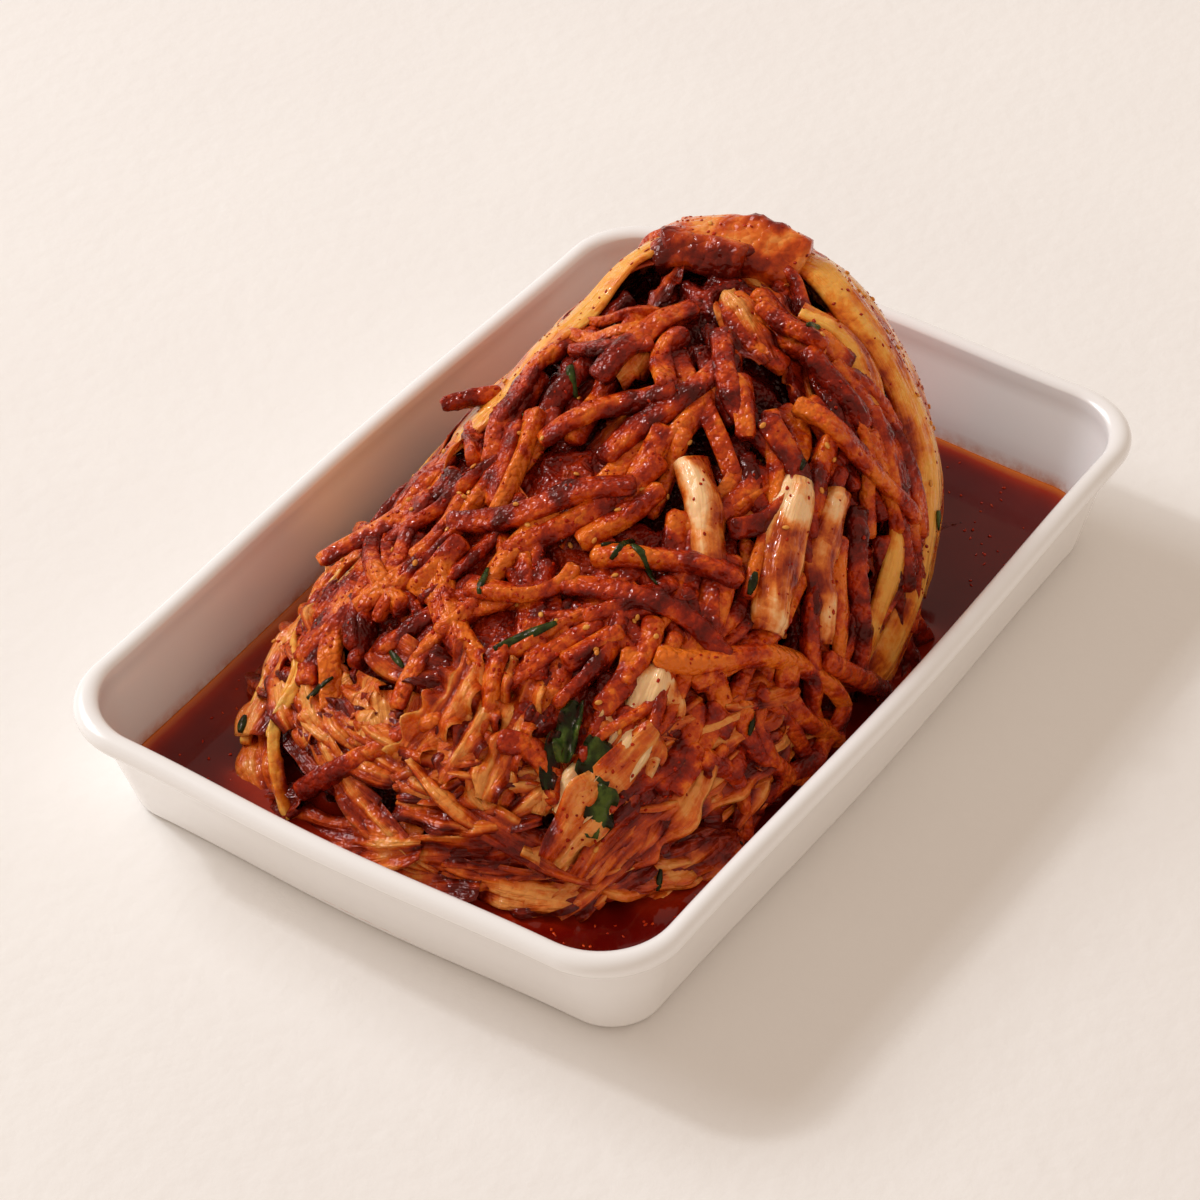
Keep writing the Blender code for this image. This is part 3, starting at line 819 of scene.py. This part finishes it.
leaf_piece(
    "green_leaf_left", "leaf_green", ["leaf_left_green"], leaf_finish,
    ([(-44, 60, 38), (-60, 62, 32), (-76, 60, 24), (-92, 54, 14)], 14,
     {"lift": 0.8, "folds": 2.2, "ruffle": 2.2, "tone": 0.5, "paste": 0.4}))

# The curled edge of a torn outer leaf, which lies as thin yellow cords along the heap's left foot.
cord = Bundle()
for places, width in (
        ([(-46, 53, 44), (-55, 54, 40), (-60, 61, 31), (-68, 60, 28), (-78, 52, 30), (-85, 50, 28),
          (-93, 46, 19)], 3.4),
        ([(-40, 58, 42), (-52, 60, 36), (-64, 63, 26), (-80, 60, 18), (-92, 54, 12)], 3.0),
        ([(-74, 54, 33), (-84, 48, 31), (-92, 47, 22), (-100, 38, 15), (-104, 30, 9)], 3.2)):
    path, normals = route(places)
    lay_strip(cord, path, normals, width, 0.8 * width, paste=0.3, bed=-0.8, sides=12, tone=0.4, rest=False,
              lumpy=1.2)
cord.build("cord_rim", yellow_finish, "leaf_orange")

# The stub of the root, where all the leaves join: two lumps trimmed with a knife.
chunk = Bundle()
path, normals = route([(68, 30, 93), (72, 20, 95), (76, 6, 94), (80, -8, 91)])
lay_strip(chunk, path, normals, 17, 12, paste=0.45, bed=1.5, sides=28, tone=0.3, rest=False, lumpy=1.3)
path, normals = route([(60, 30, 94), (66, 18, 96), (68, 4, 96)])
lay_strip(chunk, path, normals, 10, 7, paste=0.7, bed=1.5, sides=20, tone=0.6, rest=False, lumpy=1.3)
root_chunk = chunk.build("root_chunk", leaf_finish, "leaf_orange")
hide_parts("root_end")
leaf_piece(
    "short_stem", "stem_cream", ["stem_short"], stem_finish,
    ([(2, -20, 78), (-6, -29, 73), (-13, -35, 69), (-20, -41, 63)], 10,
     {**smooth_leaf, "lift": 2.6, "thick": 4.5, "rib": 1.0, "tone": 0.3, "paste": 0.35, "slim": 0.1,
      "cup": -2.6, "folds": 1.0, "fold_mm": 6.0}))
leaf_piece(
    "long_stem", "stem_cream", ["stem_long"], stem_finish,
    ([(16, -44, 71), (4, -49, 66), (-8, -53, 60), (-20, -57, 51)], 13,
     {**smooth_leaf, "lift": 5.0, "thick": 4.0, "rib": 2.0, "tone": 0.2, "paste": 0.30, "slim": 0.3,
      "folds": 1.6, "fold_mm": 6.0, "cup": -3.4}),
    ([(24, -52, 66), (6, -57, 58), (0, -61, 50), (-6, -66, 42)], 9,
     {**smooth_leaf, "lift": 3.4, "thick": 3.0, "rib": 1.5, "tone": 0.3, "paste": 0.35, "cup": -2.0,
      "folds": 1.6, "fold_mm": 5.0}))
leaf_piece(
    "heart_leaf", "stem_cream", ["leaf_heart"], stem_finish,
    ([(-48, -44, 54), (-62, -47, 46), (-76, -46, 39), (-90, -42, 30)], 19,
     {"lift": 0.8, "folds": 3.0, "fold_mm": 4.5, "ruffle": 2.2, "ruffles": 3, "thick": 1.4, "rib": 1.0,
      "tone": 0.3, "paste": 0.4, "cup": -1.5}))
leaf_piece(
    "front_fold_leaf", "leaf_orange", ["leaf_front_fold"], leaf_finish,
    ([(-62, -52, 43), (-74, -50, 38), (-86, -46, 32), (-96, -42, 22)], 13,
     {"lift": 3.0, "folds": 3.0, "fold_mm": 4.5, "ruffle": 2.6, "ruffles": 3, "thick": 1.0, "tone": 0.0,
      "paste": 0.1, "tilt": 2.0}),
    ([(-56, -60, 36), (-70, -60, 30), (-82, -56, 25), (-94, -50, 14)], 17,
     {"lift": 1.2, "folds": 3.0, "fold_mm": 4.0, "ruffle": 2.4, "ruffles": 3, "thick": 1.0, "tone": 0.3,
      "paste": 0.3}))
leaf_piece(
    "ruffled_leaf", "leaf_orange", ["leaf_ruffle"], leaf_finish,
    *[([(-66, -8 + shift, 52), (-80, -10 + shift, 45), (-96, -8 + 1.4 * shift, 32)], 12,
       {"lift": 1.5, "folds": 2.6, "fold_mm": 4.0, "ruffle": 3.4, "ruffles": 4, "tone": 0.3,
        "paste": 0.2, "tilt": dice.uniform(-2, 2)}) for shift in (-9, 0, 9)])

tips = Bundle()
for _ in range(44):
    start = np.array([dice.uniform(-98, -54), dice.uniform(-64, 62), 40]) * MM
    drift = dice.normal(0, 18)
    heading = fall_line(start, dice.normal(0, 0.5))
    path, normals = walk(start, heading, dice.uniform(24, 44) * MM, lambda t: drift)
    lay_leaf(tips, path, normals, dice.uniform(9, 17), lift=dice.uniform(-4.5, 0),
             folds=dice.uniform(1.4, 2.8), fold_mm=dice.uniform(4, 7), ruffle=dice.uniform(1.5, 3),
             ruffles=dice.uniform(1.5, 3), tone=dice.uniform(0, 0.7), paste=dice.uniform(0.1, 0.6))
leaf_tips = tips.build("leaf_tips", leaf_finish, "leaf_orange")
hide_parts("leaf_tip_left")

layers = Bundle()
for level in (9, 14, 19, 24, 29, 34, 40):
    for start_angle in (105, 122, 140, 158, 176, 194, 212, 230):
        a = math.radians(start_angle + dice.uniform(-12, 12))
        a = a + np.linspace(0, 1, 5) * dice.uniform(0.28, 0.55)
        reach = 95 - 20 * np.abs(np.sin(a))
        lean = dice.uniform(-9, 9) * np.linspace(-1, 1, 5)
        height = level + lean + 4 * np.sin(3 * a + level)
        ring = np.stack([reach * np.cos(a), 8 + reach * np.sin(a), height], 1)
        path, normals = route(ring)
        lay_leaf(layers, path, normals, dice.uniform(8, 14), lift=dice.uniform(-2.5, 0.5),
                 folds=dice.uniform(2.4, 3.8), fold_mm=dice.uniform(2.6, 4.2), ruffle=dice.uniform(0.6, 2.0),
                 ruffles=dice.uniform(1.5, 4.0), tilt=dice.uniform(0.0, 3.2), thick=0.8,
                 tone=dice.uniform(0.1, 1.0), paste=dice.uniform(0.2, 0.8))
leaf_layers = layers.build("leaf_layers", leaf_finish, "leaf_orange")
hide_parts("leaf_tip_front")

back = Bundle()
for angle in (-44, -22, 2, 26, 50, 74, 98, 122):
    a = math.radians(angle)
    path, normals = route([(70 + 34 * s * math.cos(a), 14 + 50 * s * math.sin(a) + 6 * s, 97 - 90 * s**2.6)
                           for s in (0.25, 0.5, 0.75, 1.0)])
    lay_leaf(back, path, normals, 30, lift=dice.uniform(-1.5, 0.2), thick=1.8, rib=2.5, tone=0.4,
             paste=0.25, folds=1.0, fold_mm=9, ruffle=0.6, slim=0.35, ragged=0.15)
back.build("back_leaves", leaf_finish, "leaf_orange")

scraps = Bundle()
for _ in range(60):
    start = scatter(-62, 98)
    drift = dice.normal(0, 25)
    heading = fall_line(start, dice.normal(0, 0.8))
    path, normals = walk(start, heading, dice.uniform(14, 32) * MM, lambda t: drift)
    lay_leaf(scraps, path, normals, dice.uniform(6, 13), lift=dice.uniform(-6.0, -1.5),
             folds=dice.uniform(1, 2.4), fold_mm=dice.uniform(3.5, 6), ruffle=dice.uniform(1, 2.5),
             tilt=dice.uniform(-2, 2), tone=dice.uniform(0, 0.9), paste=dice.uniform(0.2, 0.8))
scraps.build("leaf_scraps", leaf_finish, "leaf_orange")

# ------------------------------------------------------------------ radish strips
# White radish cut in matchsticks about 5 mm thick, limp from the salt and dyed orange by the
# chilli. They are draped one on another, so each rests on those laid before it.

strips = Bundle()
strew(strips, 56, -86, 76, 5.4, (4.4, 6.8), (24, 52), 0.5, (0.3, 1.0), most=4.5)
strew(strips, 48, -78, 76, 3.8, (4.0, 6.6), (20, 50), 0.5, (0.1, 0.9), most=4.5)
strew(strips, 28, 10, 76, 3.0, (4.0, 6.4), (24, 50), 0.4, (0.0, 0.8), most=4.5)

loose = Bundle()
for places, width, paste in (
        ([(-46, -40, 54), (-43, -46, 52), (-34, -53, 50), (-25, -58, 48), (-14, -66, 40),
          (-6, -72, 25)], 6.6, 0.3),
        ([(-44, -10, 61), (-39, -25, 62), (-34, -42, 58), (-34, -54, 50)], 6.2, 0.5),
        ([(-33, -13, 66), (-28, -24, 66), (-20, -38, 65), (-17, -46, 60)], 6.2, 0.4),
        ([(-28, 66, 34), (-42, 54, 46), (-52, 46, 48), (-63, 27, 50)], 6.0, 0.4),
        ([(-2, 48, 66), (-8, 43, 65), (-18, 35, 66)], 6.0, 0.5),
        ([(-38, 29, 60), (-32, 11, 66), (-21, 0, 71), (-12, -13, 74)], 6.2, 0.5),
        ([(-104, 31, 16), (-95, 14, 32), (-84, 0, 42)], 5.6, 0.5),
        ([(-64, -6, 53), (-76, -10, 47), (-87, -12, 40)], 5.8, 0.2),
        ([(-84, -18, 41), (-82, -26, 41), (-84, -34, 38), (-88, -38, 33)], 6.0, 0.4),
        ([(33, -33, 82), (36, -51, 68), (43, -62, 48)], 6.4, 0.4),
        ([(-54, 12, 57), (-51, -3, 59), (-44, -10, 61), (-38, -11, 64)], 6.0, 0.3),
        ([(10, 14, 84), (33, 10, 91), (44, 5, 93)], 6.0, 0.5),
        ([(-10, 19, 75), (7, 6, 83), (16, -7, 85)], 6.0, 0.6),
        ([(38, -6, 91), (21, -20, 84), (18, -37, 77)], 5.8, 0.6),
        ([(53, -9, 93), (52, -22, 89), (54, -29, 86)], 5.8, 0.3),
        ([(34, 2, 91), (25, 4, 89), (15, -5, 85)], 5.6, 0.4),
        ([(22, -30, 82), (16, -44, 72), (2, -44, 68), (-8, -38, 69)], 6.2, 0.6),
        ([(-9, -67, 39), (3, -72, 26), (17, -73, 12)], 5.8, 0.4),
        ([(-30, -62, 42), (-24, -71, 24), (-23, -73, 8)], 5.8, 0.5),
        ([(-6, -72, 25), (-18, -73, 17), (-43, -70, 18)], 5.8, 0.5),
        ([(-56, -60, 36), (-48, -67, 27), (-51, -71, 11)], 5.6, 0.5)):
    path, normals = route(places)
    lay_strip(loose, path, normals, width, 0.75 * width, paste=paste, bed=0.4, most=3.5, sides=14)
for places in ([(-30, 50, 55), (-42, 52, 47), (-52, 55, 38)], [(8, 46, 70), (-2, 50, 62)]):
    path, normals = route(places)
    path = path + normals * (np.linspace(0, 9, len(path)) * MM)[:, None]
    lay_strip(loose, path, normals, 6.4, 5.0, paste=0.5, bed=0.0, most=0.0, sides=14, slim=0.4)
strew(loose, 24, -74, 72, 2.0, (3.6, 6.0), (18, 46), 0.5, (0.0, 0.6), most=3.5)

# Radish under gritty paste: orange where the paste is wiped thin, brick red and rough where thick; the
# strips' outward sides are painted lighter and their undersides darker, as painted light and shade.
strip_finish = paste_material(
    "pasted_radish", ("#E4701C", "#CA480C", "#A62A08", "#841A06", "#661004", "#4E0A03"),
    cover=0.54, wet=0.12, relief=0.7, glow=0.08, patches=1.1, film=0.4)
strips.build("radish_strips", strip_finish, "chilli_paste")
loose.build("loose_strips", strip_finish, "chilli_paste")

# ------------------------------------------------------------------ greens, seeds and chilli flakes
# Snipped chives and mustard leaf, small pale chilli seeds and flat red flakes, each a solid of its
# own. They are stirred in with the paste, and here each lies on whatever is uppermost below it.

covers = [BVHTree.FromObject(piece, bpy.context.evaluated_depsgraph_get()) for piece in food]


def drop(points):
    """Carries points inward to the uppermost food surface; gives the places and the slopes there."""
    places, slopes = [], []
    for p in np.atleast_2d(points):
        way = Vector(heap_centre - p).normalized()
        start = Vector(p) - way * 0.05
        hits = [tree.ray_cast(start, way) for tree in covers]
        hits = [hit for hit in hits if hit[0] is not None]
        if hits:
            hit = min(hits, key=lambda found: found[3])
            places.append(hit[0][:])
            slopes.append(hit[1][:] if hit[1].dot(way) < 0 else (-hit[1])[:])
        else:
            places.append(tuple(p))
            slopes.append(tuple(-way))
    return np.array(places), np.array(slopes)


def add_chip(bundle, place, slope, long, broad, thick, rows=3, sides=6, lift=0.3, **facts):
    """One small solid lying flat on a slope; sizes in mm, more rows and sides make it rounder."""
    aside = np.cross(slope, dice.normal(size=3))
    aside /= np.linalg.norm(aside)
    ahead = np.cross(slope, aside)
    tip = np.sin(math.pi * (np.arange(rows) + 0.5) / rows)
    reach = -np.cos(math.pi * (np.arange(rows) + 0.5) / rows)
    around = 2 * math.pi * (np.arange(sides) + 0.5) / sides
    jitter = 1 + dice.uniform(-0.25, 0.25, (rows, sides)) * (rows == 3)
    x = 0.5 * broad * tip[:, None] * np.cos(around)[None, :] * jitter
    y = 0.5 * thick * tip[:, None] * np.sin(around)[None, :]
    z = 0.5 * long * reach[:, None] * jitter
    centre = place + slope * thick * lift * MM
    rings = centre + (x[..., None] * aside + y[..., None] * slope + z[..., None] * ahead) * MM
    bundle.add_tube(rings, **facts)


flakes = Bundle()
places, slopes = drop(np.array([on_heap(scatter(-104, 100))[0] for _ in range(1500)]))
for place, slope in zip(places, slopes):
    if place[2] > brine_level + 1 * MM:
        size = dice.uniform(0.6, 1.0) ** 2 * 1.4
        add_chip(flakes, place, slope, size, size * dice.uniform(0.7, 1.0), 0.35, lift=0.15,
                 tone=dice.random(), paste=0.5)
# Dried chilli skin: thin glossy red chips, some bright and some nearly brown.
flake_finish = paste_material("chilli_flakes", ("#D9480F", "#BC2C0C", "#9A1B08", "#740F05"),
                              cover=0.5, wet=0.15, grain_mm=0.8, relief=0.3)
flakes.build("chilli_flakes", flake_finish, "chilli_paste")

seeds = Bundle()
places, slopes = drop(np.array([on_heap(scatter(-90, 96))[0] for _ in range(100)]))
for place, slope in zip(places, slopes):
    if place[2] > brine_level + 1 * MM:
        add_chip(seeds, place, slope, dice.uniform(1.5, 2.1), dice.uniform(1.2, 1.6), 0.8, rows=5, sides=6,
                 tone=dice.random(), paste=0.2)
# Chilli seeds: small flat discs of pale amber, stained by the paste.
seed_finish = paste_material("chilli_seeds", ("#E8A24C", "#D98434", "#B4561A"),
                             cover=0.45, wet=0.2, relief=0.2)
seeds.build("chilli_seeds", seed_finish, "stem_cream")

greens = Bundle()
spots = [(-30, -13, 66, 9), (-53, -15, 58, 16), (-47, 10, 60, 8), (-83, 37, 36, 9), (-75, 25, 45, 7),
         (56, -25, 88, 7), (23, -42, 75, 8), (14, 26, 83, 9), (5, 31, 77, 10), (-78, -63, 16, 8),
         (-53, -70, 12, 8), (-27, -20, 67, 12), (-88, 58, 17, 8), (-24, -19, 68, 9)]
spots += [(*(on_heap(scatter(-80, 50))[0] / MM), dice.uniform(3, 8)) for _ in range(5)]
for x, y, z, long in spots:
    start = np.array([x, y, z]) * MM
    drift = dice.normal(0, 30)
    heading = fall_line(start, dice.normal(0, 1.2))
    path, normals = walk(start, heading, max(long, 6) * MM, lambda t: drift, 1 * MM)
    places, slopes = drop(path)
    for _ in range(4):
        places[1:-1] = 0.25 * places[:-2] + 0.5 * places[1:-1] + 0.25 * places[2:]
    wide = dice.uniform(1.6, 3.2)
    t = np.linspace(0, 1, len(places))
    spindle = wide * MM * (0.35 + 0.65 * np.sin(math.pi * np.clip(t * 0.9 + 0.05, 0, 1)))
    rings = sweep(places + normals * 0.5 * MM, normals, spindle, np.full(len(t), 0.7 * MM),
                  dice.uniform(-0.4, 0.4) + t * 0.5, 6, 0.8)
    greens.add_tube(rings, tone=dice.random(), paste=dice.uniform(0.2, 0.7), along=0.0, across=0.0)
for x, y, z in ((-80, -43, 39), (-84, -33, 40), (-88, -50, 32), (-76, -33, 44)):
    path, normals = route([(x + 9, y + 3, z + 4), (x, y, z), (x - 8, y - 4, z - 3)])
    lay_leaf(greens, path, normals, dice.uniform(5, 9), lift=3.0, folds=2.0, fold_mm=3.0, ruffle=2.0,
             ruffles=2.0, thick=0.6, tone=0.3, paste=0.3)
# Wet herbs: dark bottle green, lighter and yellower in patches, with a sharp shine.
green_finish = paste_material("wet_herbs", ("#4A5E22", "#30431A", "#1B2A10", "#12190B", "#3A1207"),
                              cover=0.55, wet=0.14, grain_mm=1.5, relief=0.4)
greens.build("chopped_greens", green_finish, "leaf_green")

# ------------------------------------------------------------------ brine
# Salty red juice drawn from the cabbage and the chilli, standing level in the tray. It creeps up
# the enamel and up each leaf and strip that stands in it, in a thin bright meniscus.

brine, tree, out = new_material("chilli_brine")
# A clear, dark red liquid: nearly black where deep, blood red over the pale floor and a thin
# orange line where it feathers out on the enamel. Its surface mirrors the light.
place = add(tree, "TexCoord").outputs["Object"]
shallow = add(tree, "Attribute", attribute_name="shallow").outputs["Fac"]
cloud = add(tree, "TexNoise", {"Vector": place, "Scale": 30.0, "Detail": 3.0}).outputs["Fac"]
thin = add(tree, "Math", {0: cloud, 1: 0.45, 2: shallow}, operation="MULTIPLY_ADD").outputs[0]
colour = add(tree, "ValToRGB", {"Fac": thin},
             stops=[(0.1, paint("#4A0504")), (0.3, paint("#660903")), (0.6, paint("#982408")),
                    (1.0, paint("#C86420"))]).outputs["Color"]
shader = add(tree, "BsdfPrincipled", {"Base Color": colour, "Roughness": 0.05, "IOR": 1.34})
tree.links.new(shader.outputs[0], out.inputs["Surface"])

wet_points = []
for piece in food:
    spots = read_values(piece.data, "co")
    wet_points.append(spots[np.abs(spots[:, 2] - brine_level) < 1.0 * MM])
wet_points = np.concatenate(wet_points)
shore = KDTree(len(wet_points))
for index, spot in enumerate(wet_points):
    shore.insert((spot[0], spot[1], 0), index)
shore.balance()
rise_at_level = max((brine_level - floor_top - inner_fillet) / (wall_top - inner_fillet - floor_top), 0)
wall_inward = wall + wall_lean * rise_at_level - 0.5 * MM
steps_in = np.concatenate([[0, 0.5, 1.0, 1.6, 2.4], np.arange(3.6, 76, 1.3)])
corner_steps, side_steps = 20, 90
brine_rings = [tray_ring(rise_at_level, wall_inward, floor_top + 1 * MM, corner_steps, side_steps)]
brine_rings += [tray_ring(rise_at_level, wall_inward + inward * MM, brine_level, corner_steps, side_steps)
                for inward in steps_in]
count = len(brine_rings[0])
points = np.array([p for ring in brine_rings for p in ring])
inward = np.repeat(np.concatenate([[0], steps_in]), count)
gap = np.array([shore.find((x, y, 0))[2] for x, y, z in points]) / MM
creep = 0.9 * np.exp(-inward / 0.9) + 0.8 * np.exp(-gap / 1.5)
points[count:, 2] += creep[count:] * MM + 0.15 * MM * (rough(points[count:], 14 * MM, 2, 3) - 0.5)
surface = new_mesh("brine_surface", points, loft_faces(len(brine_rings), count), brine,
                   facts={"shallow": np.exp(-inward / 2.6) * 0.9 + 0.3 * np.exp(-gap / 4.0)})
close_ends(surface, count, len(brine_rings))
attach(surface, "root")
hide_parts("brine")

specks = Bundle()
speck_count, speck_corners = 150, 18
while specks.count < speck_count * speck_corners:
    spot = np.array([dice.uniform(-125, 125), dice.uniform(-82, 82), 0]) * MM
    spot[2] = brine_level
    foot = on_heap(spot)[0]
    free = np.linalg.norm(spot - heap_centre) - np.linalg.norm(foot - heap_centre)
    inside = abs(spot[0]) < rim_x - 18 * MM and abs(spot[1]) < rim_y - 15 * MM
    if free > 3 * MM and inside and dice.random() < 0.25 + math.exp(-free / (8 * MM)):
        add_chip(specks, spot, np.array([0.0, 0.0, 1.0]), dice.uniform(0.5, 1.5), dice.uniform(0.4, 1.1),
                 0.35, tone=dice.random(), paste=0.3)
specks.build("brine_specks", flake_finish, "chilli_paste")
